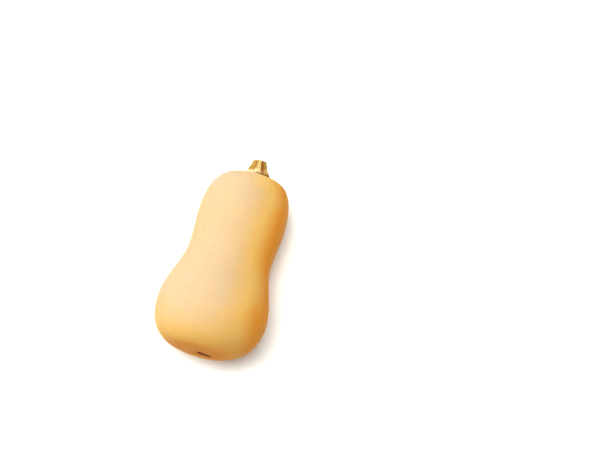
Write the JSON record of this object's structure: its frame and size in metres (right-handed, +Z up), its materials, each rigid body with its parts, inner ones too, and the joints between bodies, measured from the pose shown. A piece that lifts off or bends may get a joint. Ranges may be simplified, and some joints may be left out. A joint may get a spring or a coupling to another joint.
{
  "type": "butternut squash",
  "caption": "Whole butternut squash lying on its side: a round bulb, a slightly narrower waist, a long neck and a short angled woody stem.",
  "frame": {"origin": "middle of the lying squash's footprint box, on the surface it rests on", "axes": "+Z up; +Y along the squash from the blossom end towards the stem; +X across it"},
  "size_m": [0.1166, 0.2188, 0.1159],
  "materials": {
    "rind": "satin",
    "dry_stem": "matte"
  },
  "bodies": {
    "root": {"fruit": "rind", "stem": "dry_stem"}
  },
  "joints": []
}
